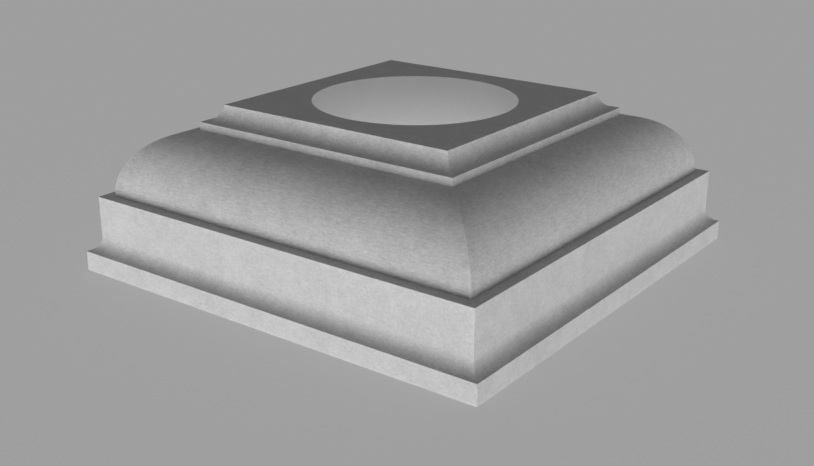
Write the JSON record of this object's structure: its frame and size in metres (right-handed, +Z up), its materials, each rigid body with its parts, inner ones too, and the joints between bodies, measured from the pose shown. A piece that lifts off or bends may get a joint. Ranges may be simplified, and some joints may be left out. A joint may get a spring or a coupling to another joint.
{
  "type": "column base",
  "caption": "Square moulded column base in cast stone: stepped foot, upright plinth, large quarter-round and coved cap, bored through for a round shaft.",
  "frame": {"origin": "centre of the flat underside", "axes": "+Z up along the bore's axis; X and Y square to the four sides"},
  "size_m": [0.6, 0.6, 0.212],
  "materials": {
    "cast_stone": "matt, fine sandy grain, pale neutral grey, crisp arrises, undamaged"
  },
  "bodies": {
    "root": {"column_base": "cast_stone"}
  },
  "joints": []
}
